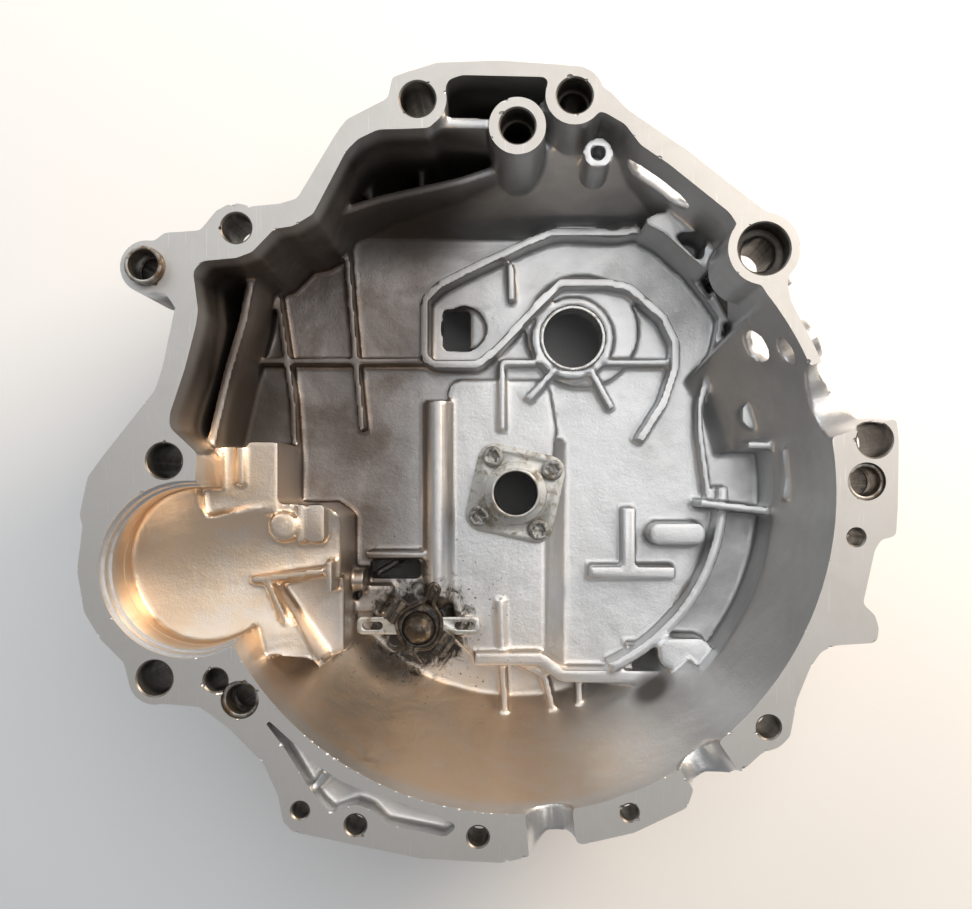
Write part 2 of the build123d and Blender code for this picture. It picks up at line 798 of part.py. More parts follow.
def holes():
    """Bolt holes, bores, windows, channels and the slot."""
    cuts = []
    for name in bolt_px:
        cuts.append(bolt_hole(name))
    for name, px in dowel_px.items():
        cuts.append(view_post(px, dowel_radius, -overrun, dowel_length - dowel_rise(name), 0))
        cuts.append(view_post(px, dowel_bore_radius, 0, dowel_boss_length + overrun, 0))
    cuts.append(view_post(tapped_boss_px, tapped_hole_radius, tapped_boss_depth - overrun,
                          tapped_boss_depth + tapped_hole_length, tapped_boss_depth))
    for px, radius, bottom in channel_rows:
        cuts.append(radial_pipe(px, radius, bottom - radius, bell_radius / 2,
                                2 * bell_radius))
    slot = prism(view_face(slot_px, slot_corner), -overrun, slot_depth)
    cuts.append(slot - strips([slot_web_px], slot_web_width, slot_web_top,
                              slot_depth + overrun))
    cuts.append(wall_hole(low_side_hole_px, low_side_hole_radius, low_side_hole_depth))
    cuts.append(wall_hole(high_side_hole_px, high_side_hole_radius, high_side_hole_depth))
    cuts.append(side_window())
    cuts.append(prism(view_face(under_pocket_px, cavity_corner, under_pocket_depth),
                      under_pocket_depth, floor_depth + floor_thickness + overrun))
    rear = overall_height + overrun
    bore = sleeve_bore_radius + sleeve_wall
    cuts.append(view_post(shaft_bore_px, bore, shaft_boss_top - overrun, rear,
                          shaft_boss_top))
    cuts.append(post((0, 0), seal_radius, centre_top - overrun, centre_top + seal_seat))
    cuts.append(post((0, 0), shaft_clear_radius, centre_top, rear))
    cuts.append(post((0, 0), bearing_radius, bearing_seat(), rear))
    cuts.append(view_post(window_px, window_radius, shaft_step_top,
                          floor_depth + window_recess, floor_depth))
    cuts.append(prism(view_face(window_open_px, outline_corner, floor_depth),
                      shaft_step_top, floor_depth + 2 * floor_thickness))
    cuts.append(prism(view_face(window_low_px, slot_corner, floor_depth),
                      shaft_step_top, floor_depth + 2 * floor_thickness))
    cuts.append(post(spot(ball_px, ball_depth), shank_radius, ball_depth,
                     strap_top + strap_thickness + shank_length))
    for place in guide_screw_places():
        cuts.append(post(place, screw_shank_radius, centre_top - overrun,
                         centre_top + screw_length))
    for p in rear_bolt_places():
        cuts.append(post((p.X, p.Y), rear_bolt_radius,
                         overall_height - rear_bolt_boss_height + wall, rear))
    return cuts


def dowel_rise(name):
    """How far a dowel sleeve stands out of the joint face; below it, less than zero."""
    return dowel_stand if name in standing_dowels else -dowel_sink


def wall_hole(px, radius, depth):
    """A level hole through the wall at a place in the view."""
    reach = math.hypot(*spot(px, depth))
    return radial_pipe(px, radius, depth, reach - wall_hole_reach, reach + wall_hole_reach)


def bearing_seat():
    return overall_height - bearing_length


def bolt_hole(name):
    """A drilled hole with a small chamfer, stepped or counterbored where it is so."""
    px = bolt_px[name]
    radius = bolt_hole_radius * bolt_shares[name][0]
    through = bolt_boss(name)[1] + overrun
    mouth = radius
    if name in stepped_bolts:
        cut = view_post(px, step_hole_radius, -overrun, through, 0)
        cut = cut + view_post(px, radius, -overrun, step_depth, 0)
    else:
        cut = view_post(px, radius, -overrun, through, 0)
    if name in counterbored_bolts:
        mouth = counterbore_radius
        cut = cut + view_post(px, mouth, -overrun, counterbore_depth, 0)
    x, y = spot(px)
    cone = Cone(mouth, mouth + hole_chamfer, hole_chamfer)
    return cut + Pos(x, y, level(hole_chamfer / 2)) * cone


def side_window():
    """Long window through the upper right wall."""
    place = spot(side_window_px, side_window_depth)
    half = side_window_length / 2 - side_window_radius
    slot = SlotCenterToCenter(2 * half, 2 * side_window_radius)
    plane = Plane(origin=(place[0], place[1], level(side_window_depth)),
                  x_dir=Vector(1, 0, 0).rotate(Axis.Z, side_window_angle - 90),
                  z_dir=Vector(1, 0, 0).rotate(Axis.Z, side_window_angle))
    return extrude(plane * slot, amount=side_window_reach, both=True)


def bell_casting():
    """The housing, one casting."""
    rear_body, rear_hollow = rear_form()
    body = outside_form() + rear_body
    body = body - [bell_hollow(), rear_hollow]
    body = body - holes()
    return max(body.solids(), key=lambda s: s.volume)


def dowel_sleeve(name):
    """A plain steel tube pressed into the joint face."""
    rise = dowel_rise(name)
    return tube(spot(dowel_px[name]), dowel_radius, dowel_bore_radius, -rise,
                dowel_length - rise)


def release_ball_stud():
    """Ball, neck and shank of the lever pivot."""
    x, y = spot(ball_px, ball_depth)
    ball = Pos(x, y, level(ball_depth)) * Sphere(ball_radius)
    seat = strap_top + strap_thickness
    neck = post((x, y), neck_radius, ball_depth, seat)
    shank = post((x, y), shank_radius, seat, seat + shank_length)
    return ball + neck + shank


def stud_strap():
    """Flat spring strap under the ball, slotted at both ends."""
    left, right = strap_end_places()
    pivot = spot(ball_px, ball_depth)
    middle = (left[0] + right[0]) / 2
    length = right[0] - left[0]
    low = strap_top + strap_thickness
    face = Pos(middle, pivot[1]) * RectangleRounded(length, strap_width, strap_corner)
    face += Pos(*pivot) * Circle(strap_eye_radius)
    face -= Pos(*pivot) * Circle(neck_radius + fit_gap)
    inset = strap_slot_length / 2 + strap_slot_inset
    for x in (left[0] + inset, right[0] - inset):
        face -= Pos(x, pivot[1]) * SlotOverall(strap_slot_length, strap_slot_width)
    return prism(face, strap_top, low)


def lever_saddle():
    """Moulded block under the lever, cupped round the ball."""
    low = strap_top - fit_gap
    bar = RectangleRounded(saddle_length, saddle_width, saddle_corner)
    face = bar + Circle(saddle_cup_radius)
    block = prism(face, saddle_top, low)
    for side in (-1, 1):
        for share in saddle_notch_shares:
            groove = Box(saddle_notch, saddle_width * 2, saddle_notch_depth * 2)
            block -= Pos(side * share * saddle_length, 0, level(saddle_top)) * groove
    x, y = spot(ball_px, ball_depth)
    block = Pos(x, y, 0) * (Rot(0, 0, saddle_angle) * block)
    ball_room = Pos(x, y, level(ball_depth)) * Sphere(ball_radius + fit_gap)
    neck_room = post((x, y), neck_radius + fit_gap, ball_depth, low + overrun)
    open_top = post((x, y), ball_radius + fit_gap, saddle_top - overrun, ball_depth)
    return block - [ball_room, neck_room, open_top]


def lever_spring_clip():
    """Bent wire that keeps the lever on the ball."""
    depth = saddle_top - clip_wire_radius - fit_gap
    points = [spot(p, depth) for p in clip_path_px]
    path = Spline([(x, y, level(depth)) for x, y in points])
    start = Plane(origin=path @ 0, z_dir=path % 0)
    return sweep(start * Circle(clip_wire_radius), path=path)


def guide_screw_places():
    step = 360 / guide_screw_count
    angles = [math.radians(guide_first_angle + step * i) for i in range(guide_screw_count)]
    return [(guide_screw_circle * math.cos(a), guide_screw_circle * math.sin(a))
            for a in angles]


def guide_sleeve():
    """Sleeve that the release bearing slides on, with a four-lobed plate."""
    places = guide_screw_places()
    face = round_face(places, guide_plate_corner)
    face = offset(face, guide_lobe_radius)
    plate_top = centre_top - guide_plate_thickness
    body = prism(face, plate_top, centre_top)
    body += post((0, 0), guide_root_radius, plate_top - guide_root_height, plate_top)
    body += post((0, 0), guide_tube_radius, guide_tube_top, plate_top)
    body -= post((0, 0), guide_bore_radius, guide_tube_top - overrun, centre_top + overrun)
    for place in places:
        body -= post(place, screw_shank_radius + fit_gap, plate_top - overrun,
                     centre_top + overrun)
        body -= post(place, screw_head_radius + fit_gap,
                     plate_top - guide_root_height - overrun, plate_top)
    return body


def guide_screw(place):
    """Round-headed screw with a six-lobed socket."""
    top = centre_top - guide_plate_thickness
    screw = post(place, screw_head_radius, top - screw_head_height, top)
    screw += post(place, screw_shank_radius, top, centre_top + screw_length)
    socket = post(place, screw_socket_radius, top - screw_head_height - overrun,
                  top - screw_head_height + screw_socket_depth)
    for i in range(screw_lobe_count):
        turn = math.radians(360 / screw_lobe_count * i)
        lobe = (place[0] + screw_socket_radius * math.cos(turn),
                place[1] + screw_socket_radius * math.sin(turn))
        socket += post(lobe, screw_socket_lobe, top - screw_head_height - overrun,
                       top - screw_head_height + screw_socket_depth)
    return screw - socket


def tube(place, outer, inner, top, low):
    return post(place, outer, top, low) - post(place, inner, top - overrun, low + overrun)


def save(shape, name):
    export_step(shape, "parts/" + name + ".step")


os.makedirs("parts", exist_ok=True)
save(bell_casting(), "bell_casting")
for sleeve_name in dowel_px:
    save(dowel_sleeve(sleeve_name), sleeve_name)
save(release_ball_stud(), "release_ball_stud")
save(stud_strap(), "stud_strap")
save(lever_saddle(), "lever_saddle")
save(lever_spring_clip(), "lever_spring_clip")
save(guide_sleeve(), "guide_sleeve")
save(Compound([guide_screw(p).solid() for p in guide_screw_places()]),
     "guide_sleeve_screws")
save(tube((0, 0), seal_radius, guide_bore_radius, centre_top + seal_seat - seal_length,
          centre_top + seal_seat), "input_shaft_seal")
save(tube((0, 0), bearing_radius, bearing_radius - bearing_wall, bearing_seat(),
          bearing_seat() + bearing_length), "input_bearing_race")
save(tube(spot(shaft_bore_px, shaft_boss_top), sleeve_bore_radius + sleeve_wall,
          sleeve_bore_radius, shaft_boss_top, floor_depth + floor_thickness),
     "shaft_bore_sleeve")
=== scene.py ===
"""The finish of a clutch bell housing: its casting, machined faces and small fittings.

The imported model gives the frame. The casting is finished as the real one was made: a rough
casting with a little stock is rounded off, and then milled, drilled and knocked about.
"""

import json
import math
import random

import bpy
import numpy as np
from bpy.props import FloatProperty, FloatVectorProperty, IntProperty, PointerProperty
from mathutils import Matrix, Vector
from mathutils.bvhtree import BVHTree


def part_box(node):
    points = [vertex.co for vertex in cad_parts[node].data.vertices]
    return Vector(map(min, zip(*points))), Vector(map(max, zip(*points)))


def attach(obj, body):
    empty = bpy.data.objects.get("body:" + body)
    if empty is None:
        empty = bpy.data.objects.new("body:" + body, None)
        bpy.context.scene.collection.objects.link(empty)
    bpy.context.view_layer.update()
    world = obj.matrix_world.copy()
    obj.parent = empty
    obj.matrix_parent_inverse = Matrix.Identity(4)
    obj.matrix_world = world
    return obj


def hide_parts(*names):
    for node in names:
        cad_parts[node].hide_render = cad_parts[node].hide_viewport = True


bl_info = {
    "name": "Clutch Housing Finish",
    "version": (1, 0, 0),
    "blender": (4, 5, 0),
    "location": "View3D > Sidebar > Housing",
    "description": "Finishes a die-cast clutch bell housing on its packed frame",
    "category": "Object",
}

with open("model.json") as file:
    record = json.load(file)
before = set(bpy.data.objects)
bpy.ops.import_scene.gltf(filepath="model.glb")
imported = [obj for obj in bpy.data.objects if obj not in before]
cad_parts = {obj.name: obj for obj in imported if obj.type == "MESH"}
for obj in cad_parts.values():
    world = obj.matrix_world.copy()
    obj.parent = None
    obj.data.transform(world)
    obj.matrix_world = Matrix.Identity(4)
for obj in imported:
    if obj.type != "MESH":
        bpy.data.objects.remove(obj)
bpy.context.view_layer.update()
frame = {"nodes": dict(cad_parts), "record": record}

# The view of the photograph: the face's scale, the shaft axis and the eye above the face
AXIS_PX = (515.6, 493.2)
IMAGE_PX = (972, 909)
BELL_RADIUS = 0.150
BELL_RADIUS_PX = 321.0
EYE_HEIGHT = 0.525
SENSOR_MM = 36.0

# Heights and small lengths
MM = 0.001
FACE = next(mount["pos_m"][2] for mount in frame["record"]["mounts"]
            if mount["name"] == "engine_joint_face")
SEAT_GAP = 0.05 * MM
FACE_TOLERANCE = 0.05 * MM
DRILL_OVERRUN = 1.0
SLAB_WIDTH = 0.6
FLOOR_WIDTH = 8.0
BORE_DEPTH = 0.085

# How the shelter of each vertex is felt out
SHELTER_REACH = 0.090
SHELTER_WAYS = 40
SHELTER_RAYS = 10
SHELTER_SPREAD = 1.05


def spot(px, depth=0.0):
    """The place in metres of a pixel of the photograph, at a depth below the joint face."""
    scale = BELL_RADIUS / BELL_RADIUS_PX * (1 + depth / EYE_HEIGHT)
    return Vector(((px[0] - AXIS_PX[0]) * scale, (AXIS_PX[1] - px[1]) * scale, FACE - depth))


# Places on the casting that the finishes need
STARTER = spot((187, 572), 0.030)
STUD = spot((419, 628), 0.092)
# Painted shade: pockets whose colour is darkened, partly sooty dirt; each a centre and a reach
SHADED_POCKETS = (
    (spot((212, 330), 0.075), 0.022),
    (spot((222, 410), 0.085), 0.022),
    (spot((497, 97), 0.075), 0.030),
    (spot((395, 165), 0.080), 0.034),
    (spot((455, 150), 0.070), 0.020),
    (spot((657, 697), 0.085), 0.009),
)


# Bolt holes in the joint face: place in the photograph, radius and length in millimetres
BOLTS = {
    "top_left": ((417.5, 98.9), 8.2, 58.0), "top_middle": ((517.5, 125.5), 8.2, 74.2),
    "top_right": ((574.8, 95.1), 8.2, 66.1), "left_upper": ((236.1, 227.9), 6.89, 41.2),
    "left_waist": ((164.0, 460.9), 8.2, 56.3), "left_lower": ((154.5, 678.5), 8.2, 52.2),
    "left_small": ((215.5, 680.4), 5.41, 39.4), "bottom_a": ((300.0, 810.6), 3.94, 26.1),
    "bottom_b": ((355.5, 825.2), 4.84, 30.7), "bottom_c": ((478.0, 836.9), 4.84, 30.7),
    "bottom_d": ((629.8, 812.9), 3.94, 26.1), "right_low": ((768.9, 727.4), 5.41, 36.5),
    "right_small": ((856.5, 537.3), 3.94, 27.8), "right_ear": ((875.0, 439.8), 8.2, 52.2),
    "right_upper": ((764.5, 248.4), 8.2, 56.3),
}
# Holes with a wider mouth or a narrower foot: its radius and the depth where it meets the hole
WIDE_MOUTHS = {"right_upper": (12.0, 13.5)}
NARROW_FEET = {"top_middle": (6.2, 16.5), "top_right": (6.2, 16.5)}
DOWEL_BORE = 6.89
DOWEL_BOSS_LENGTH = 54.0

# The starter recess: its centre, and the radius of each step with the depth where it ends
STARTER_PX = (187.3, 569.6)
STARTER_STEPS = ((41.6, 4.5), (40.0, 10.0), (38.7, 26.0))


class HousingSizes(bpy.types.PropertyGroup):
    voxel: FloatProperty(
        name="Voxel", description="Grain of the rounded casting", default=0.0012,
        unit="LENGTH")
    stock: FloatProperty(
        name="Stock", description="Metal left on the joint faces before milling",
        default=0.002, unit="LENGTH")
    passes: IntProperty(
        name="Rounding passes", description="How often the casting is smoothed", default=4)
    triangles: IntProperty(
        name="Triangles", description="Triangles kept in the casting", default=180000)
    chamfer: FloatProperty(
        name="Hole chamfer", description="Width of the chamfer at a drilled hole",
        default=0.0008, unit="LENGTH")
    chips: IntProperty(
        name="Chips", description="Small knocks along the flange's edges", default=90)
    nicks: IntProperty(
        name="Nicks", description="Close nicks on the mouth's lower left edge", default=26)
    chip_size: FloatProperty(
        name="Chip size", description="Radius of the largest knock", default=0.0014,
        unit="LENGTH")
    edge: FloatProperty(
        name="Small edge", description="Width of the bevel on the fittings",
        default=0.00045, unit="LENGTH")


class HousingColours(bpy.types.PropertyGroup):
    cast: FloatVectorProperty(
        name="Cast skin", description="Clean die-cast aluminium", subtype="COLOR",
        default=(0.70, 0.70, 0.70))
    cast_dark: FloatVectorProperty(
        name="Dull skin", description="Duller patches of the casting", subtype="COLOR",
        default=(0.46, 0.455, 0.45))
    # Painted reflection: an amber for warm reflected light on the lower left walls and the
    # starter recess, with some baked oil film
    amber: FloatVectorProperty(
        name="Oil varnish", description="Baked oil film on the lower left", subtype="COLOR",
        default=(0.76, 0.56, 0.37))
    # Painted shade: a dark brown laid on the upper left inside walls where shade falls, with
    # some clutch dust
    shade_and_dust: FloatVectorProperty(
        name="Clutch dust", description="Brown dust film on the upper left", subtype="COLOR",
        default=(0.15, 0.117, 0.098))
    # Painted highlight: bright metal on convex ribs and edges, partly rubbing wear
    edge_highlight_and_wear: FloatVectorProperty(
        name="Rubbed edges", description="Bright metal on ribs and edges", subtype="COLOR",
        default=(0.82, 0.81, 0.79))
    milled: FloatVectorProperty(
        name="Milled face", description="Milled joint faces", subtype="COLOR",
        default=(0.58, 0.57, 0.555))
    # Dark colour of old grease and clutch dust, also used as painted shade in hollows, pockets
    # and down the holes
    grime_and_shade: FloatVectorProperty(
        name="Grime", description="Clutch dust and old grease", subtype="COLOR",
        default=(0.045, 0.036, 0.028))


class StageSettings(bpy.types.PropertyGroup):
    floor_colour: FloatVectorProperty(
        name="Floor", description="Colour of the plain floor", subtype="COLOR",
        default=(0.96, 0.96, 0.96))
    ceiling_power: FloatProperty(
        name="Ceiling power", description="Power of the large light overhead", default=12.0)
    window_power: FloatProperty(
        name="Window power", description="Power of the cool light from the upper left",
        default=5.5)
    lamp_power: FloatProperty(
        name="Lamp power", description="Power of the warm light from the right", default=18.0)


# Shader sheets

class Signal:
    """A socket of a finish's sheet that takes part in Python expressions."""

    def __init__(self, sheet, socket):
        self.sheet = sheet
        self.socket = socket

    def maths(self, operation, *values):
        return self.sheet.node("ShaderNodeMath", {"operation": operation},
                               dict(enumerate(values)))

    def __add__(self, other):
        return self.maths("ADD", self, other)

    __radd__ = __add__

    def __sub__(self, other):
        return self.maths("SUBTRACT", self, other)

    def __rsub__(self, other):
        return self.maths("SUBTRACT", other, self)

    def __mul__(self, other):
        return self.maths("MULTIPLY", self, other)

    __rmul__ = __mul__

    def larger(self, other):
        return self.maths("MAXIMUM", self, other)


class Finish:
    """A material being written: its node tree and its shader."""

    def __init__(self, name, **constants):
        self.material = bpy.data.materials.new(name)
        self.material.use_nodes = True
        self.tree = self.material.node_tree
        self.shader = self.tree.nodes["Principled BSDF"]
        for socket, value in constants.items():
            self.shader.inputs[socket.replace("_", " ")].default_value = value

    def node(self, kind, settings=None, values=None, output=0):
        """Any node: its settings first, then the values or signals of its sockets."""
        node = self.tree.nodes.new(kind)
        for name, value in (settings or {}).items():
            setattr(node, name, value)
        for key, value in (values or {}).items():
            self.join(self.find(node.inputs, key), value)
        return Signal(self, self.find(node.outputs, output))

    def find(self, sockets, key):
        if isinstance(key, int):
            return sockets[key]
        for socket in sockets:
            if key in (socket.identifier, socket.name):
                return socket
        raise KeyError(key)

    def join(self, socket, value):
        if isinstance(value, Signal):
            self.tree.links.new(value.socket, socket)
        else:
            socket.default_value = value

    def place(self):
        return self.node("ShaderNodeTexCoord", output="Object")

    def across(self, place, axis):
        return self.node("ShaderNodeSeparateXYZ", {}, {0: place}, output=axis)

    def noise(self, place, scale, detail=3.0, roughness=0.55, distortion=0.0):
        return self.node("ShaderNodeTexNoise", {}, {
            "Vector": place, "Scale": scale, "Detail": detail, "Roughness": roughness,
            "Distortion": distortion})

    def stretched(self, place, factors, turn=0.0):
        return self.node("ShaderNodeMapping", {}, {
            "Vector": place, "Rotation": (0.0, 0.0, turn), "Scale": factors})

    def ease(self, value, start, end, low=0.0, high=1.0):
        """low up to start and high from end on, with a smooth change between."""
        return self.node("ShaderNodeMapRange", {"interpolation_type": "SMOOTHSTEP"}, {
            "Value": value, "From Min": start, "From Max": end, "To Min": low, "To Max": high})

    def near(self, place, centre, inner, outer):
        """1 within inner of a centre, 0 past outer."""
        gap = self.node("ShaderNodeVectorMath", {"operation": "DISTANCE"},
                        {0: place, 1: tuple(centre)}, output="Value")
        return 1.0 - self.ease(gap, inner, outer)

    def blend(self, share, first, second):
        return self.node("ShaderNodeMix", {"data_type": "RGBA"}, {
            "Factor_Float": share, "A_Color": opaque(first), "B_Color": opaque(second)},
            output="Result_Color")

    def attribute(self, name):
        return self.node("ShaderNodeAttribute", {"attribute_name": name}, {}, output="Fac")

    def bump(self, height, distance, normal=None):
        values = {"Height": height, "Distance": distance, "Strength": 1.0}
        if normal is not None:
            values["Normal"] = normal
        return self.node("ShaderNodeBump", {}, values, output="Normal")

    def wear(self, **signals):
        """Links signals to the shader's own sockets and gives the material."""
        for socket, value in signals.items():
            self.join(self.shader.inputs[socket.replace("_", " ")], value)
        return self.material


def opaque(colour):
    return colour if isinstance(colour, Signal) else (*colour, 1.0)


# Finishes

def cast_skin(colours):
    """Die-cast aluminium: dull and bright patches, painted warm reflection with a baked oil
    film, painted shade with sooty dirt and dust, painted edge highlights and old grease.
    """
    skin = Finish("cast_skin")
    place = skin.place()
    patches = skin.noise(place, 26.0, 5.0, 0.62, 0.4)
    cloud = skin.noise(place, 90.0, 4.0)
    grain = skin.noise(place, 1100.0, 3.0)
    blocked = skin.attribute("blocked")
    edge = skin.attribute("edge")
    dull = skin.ease(patches + 0.35 * cloud, 0.55, 0.95)
    colour = skin.blend(dull * 0.32, colours.cast, colours.cast_dark)
    down = 0.0 - skin.across(place, "Y")
    left = 0.0 - skin.across(place, "X")
    height = skin.across(place, "Z")
    recess = skin.near(place, STARTER, 0.045, 0.105)
    inside = skin.ease(height, FACE - 0.008, FACE - 0.022)
    # Painted shade: the upper left inside walls are darkened brown by their place, partly
    # clutch dust
    shade_and_dust = skin.ease(left - 0.18 * down, 0.020, 0.085) * skin.ease(down, 0.085, 0.045)
    shade_and_dust = shade_and_dust * (1.0 - recess) * skin.ease(patches, 0.30, 0.62, 0.80, 1.0) * inside
    colour = skin.blend(shade_and_dust * 0.95, colour, colours.shade_and_dust)
    # Painted reflection: the lower left walls and the starter recess are tinted amber for warm
    # reflected light, partly a baked oil film
    wall = skin.ease(down, 0.035, 0.120) * skin.ease(left + 0.5 * down, -0.02, 0.08)
    warm_reflection_and_varnish = recess.larger(wall * 0.85)
    warm_reflection_and_varnish = warm_reflection_and_varnish * skin.ease(cloud + patches, 0.75, 1.15, 0.65, 1.0) * inside
    colour = skin.blend(warm_reflection_and_varnish * 0.78, colour, colours.amber)
    # Painted highlight: convex edges are brightened, partly rubbing wear
    edge_highlight_and_wear = skin.ease(edge, 0.12, 0.45)
    colour = skin.blend(edge_highlight_and_wear * 0.6, colour, colours.edge_highlight_and_wear)
    # Painted shade: the colour darkens where the casting blocks its own view and in the listed
    # pockets, partly sooty dirt
    shade_and_soot = skin.ease(blocked + 0.12 * cloud, 0.70, 1.00) * 0.45
    for centre, reach in SHADED_POCKETS:
        shade_and_soot = shade_and_soot.larger(skin.near(place, centre, reach, reach * 2.0))
    shade_and_soot = shade_and_soot * skin.ease(height, FACE - 0.012, FACE - 0.040)
    colour = skin.blend(shade_and_soot * 0.9, colour, colours.grime_and_shade)
    grease = grease_mask(skin, place, height)
    colour = skin.blend(grease, colour, colours.grime_and_shade)
    rough = 0.35 + 0.10 * cloud + 0.10 * shade_and_soot
    rough = rough - 0.12 * grease
    metal = 1.0 - 0.75 * shade_and_soot.larger(grease)
    relief = skin.bump(grain, 0.00010)
    relief = skin.bump(cloud, 0.0003, relief)
    return skin.wear(Base_Color=colour, Roughness=rough, Metallic=metal, Normal=relief)


def grease_mask(sheet, place, height):
    """Where black grease was flung round the lever's ball stud."""
    ragged = sheet.noise(place, 120.0, 5.0, 0.7, 0.8)
    gap = sheet.node("ShaderNodeVectorMath", {"operation": "DISTANCE"},
                     {0: place, 1: tuple(STUD)}, output="Value")
    splash = sheet.ease(gap + 0.045 * (ragged - 0.5), 0.032, 0.022)
    specks = sheet.ease(sheet.noise(place, 420.0, 2.0), 0.66, 0.72)
    specks = specks * sheet.ease(gap, 0.080, 0.025)
    return splash.larger(specks) * sheet.ease(height, FACE - 0.062, FACE - 0.074)


def milled_face(colours):
    """A milled joint face with fine scratches and dull stains."""
    face = Finish("milled_face", Metallic=0.85)
    place = face.place()
    stains = face.noise(place, 38.0, 5.0, 0.65, 0.5)
    fine = face.noise(place, 600.0, 3.0)
    scratches = []
    for turn in (0.3, 1.2, 2.3):
        streak = face.noise(face.stretched(place, (1.0, 0.035, 1.0), turn), 900.0, 2.0)
        scratches.append(face.ease(streak, 0.66, 0.74))
    scratch = scratches[0].larger(scratches[1]).larger(scratches[2])
    colour = face.blend(face.ease(stains, 0.40, 0.75) * 0.45, colours.milled,
                        (0.50, 0.495, 0.48))
    colour = face.blend(scratch * 0.25, colour, (0.85, 0.85, 0.84))
    rough = 0.42 + 0.14 * stains + 0.05 * fine
    return face.wear(Base_Color=colour, Roughness=rough - 0.10 * scratch,
                     Normal=face.bump(fine - 0.5 * scratch, 0.00003))


def drilled_bore(colours):
    """The wall of a drilled or tapped hole, with rings left by the tool, dirt, and painted
    shade further down.
    """
    bore = Finish("drilled_bore", Metallic=0.9)
    place = bore.place()
    rings = bore.noise(bore.stretched(place, (0.02, 0.02, 1.0)), 1500.0, 2.0)
    dirt = bore.noise(place, 150.0, 4.0)
    height = bore.across(place, "Z")
    # Painted shade: the bore's wall darkens further down the hole
    shade_down_hole = bore.ease(height, FACE - 0.002, FACE - 0.012)
    colour = bore.blend(bore.ease(dirt, 0.42, 0.65) * 0.6, (0.30, 0.28, 0.255),
                        (0.11, 0.095, 0.08))
    colour = bore.blend(shade_down_hole * 0.75, colour, colours.grime_and_shade)
    return bore.wear(Base_Color=colour, Roughness=0.34 + 0.2 * dirt,
                     Normal=bore.bump(rings, 0.00012))


def stained_steel(name, clean, stain, rough, amount, metallic=1.0):
    """Steel with stains: clean metal and a stain, mixed by an amount."""
    steel = Finish(name, Metallic=metallic)
    place = steel.place()
    blots = steel.noise(place, 160.0, 5.0, 0.65, 0.6)
    fine = steel.noise(place, 1500.0, 2.0)
    share = steel.ease(blots, 0.62 - 0.4 * amount, 0.80 - 0.3 * amount)
    return steel.wear(Base_Color=steel.blend(share, clean, stain),
                      Roughness=rough + 0.18 * share + 0.06 * fine,
                      Normal=steel.bump(fine, 0.00004))


def greasy_moulding():
    """Black moulded plastic under a film of brown grease."""
    moulding = Finish("greasy_moulding")
    place = moulding.place()
    film = moulding.noise(place, 210.0, 5.0, 0.7, 0.8)
    fine = moulding.noise(place, 900.0, 3.0)
    share = moulding.ease(film, 0.42, 0.66)
    return moulding.wear(Base_Color=moulding.blend(share, (0.016, 0.014, 0.012),
                                                   (0.13, 0.105, 0.08)),
                         Roughness=0.30 + 0.35 * share,
                         Normal=moulding.bump(film + 0.3 * fine, 0.0007))


def seal_rubber():
    rubber = Finish("seal_rubber")
    place = rubber.place()
    bloom = rubber.noise(place, 240.0, 4.0)
    return rubber.wear(Base_Color=rubber.blend(bloom, (0.02, 0.02, 0.02), (0.06, 0.055, 0.05)),
                       Roughness=0.55 + 0.2 * bloom,
                       Normal=rubber.bump(rubber.noise(place, 1300.0), 0.00006))


def plain_floor(colour):
    floor = Finish("plain_floor", Roughness=0.85)
    place = floor.place()
    tone = floor.noise(place, 2.5, 2.0)
    return floor.wear(Base_Color=floor.blend(tone * 0.15, colour, [0.97 * c for c in colour]))


# Modelling by hand

def pick_only(piece):
    bpy.ops.object.select_all(action="DESELECT")
    piece.select_set(True)
    bpy.context.view_layer.objects.active = piece


def settle(piece):
    """Puts a piece's place into its mesh."""
    pick_only(piece)
    bpy.ops.object.transform_apply(location=True, rotation=True, scale=True)
    return piece


def cad_copy(node, name):
    """A copy of a CAD node's mesh with its loose triangles merged."""
    piece = bpy.data.objects.new(name, frame["nodes"][node].data.copy())
    bpy.context.scene.collection.objects.link(piece)
    piece.data.name = name
    pick_only(piece)
    bpy.ops.object.mode_set(mode="EDIT")
    bpy.ops.mesh.select_all(action="SELECT")
    bpy.ops.mesh.remove_doubles(threshold=1e-6)
    bpy.ops.object.mode_set(mode="OBJECT")
    return piece


def finish_with(piece, kind, **settings):
    """Adds a modifier to a piece and applies it."""
    pick_only(piece)
    modifier = piece.modifiers.new(kind.lower(), kind)
    for name, value in settings.items():
        setattr(modifier, name, value)
    bpy.ops.object.modifier_apply(modifier=modifier.name)


def turned(name, centre, rings, segments=48):
    """A closed turned solid: a disc at the first ring, drawn out from ring to ring."""
    radius, height = rings[0]
    bpy.ops.object.select_all(action="DESELECT")
    bpy.ops.mesh.primitive_circle_add(vertices=segments, radius=radius, fill_type="NGON",
                                      location=(centre[0], centre[1], height))
    piece = settle(bpy.context.object)
    piece.name = name
    bpy.ops.object.mode_set(mode="EDIT")
    bpy.ops.mesh.select_mode(type="FACE")
    bpy.ops.mesh.select_all(action="SELECT")
    for next_radius, next_height in rings[1:]:
        bpy.ops.mesh.extrude_region_move(
            TRANSFORM_OT_translate={"value": (0, 0, next_height - height)})
        share = next_radius / radius
        bpy.ops.transform.resize(value=(share, share, 1),
                                 center_override=(centre[0], centre[1], next_height))
        radius, height = next_radius, next_height
    bpy.ops.mesh.select_all(action="SELECT")
    bpy.ops.mesh.normals_make_consistent(inside=False)
    bpy.ops.object.mode_set(mode="OBJECT")
    return piece


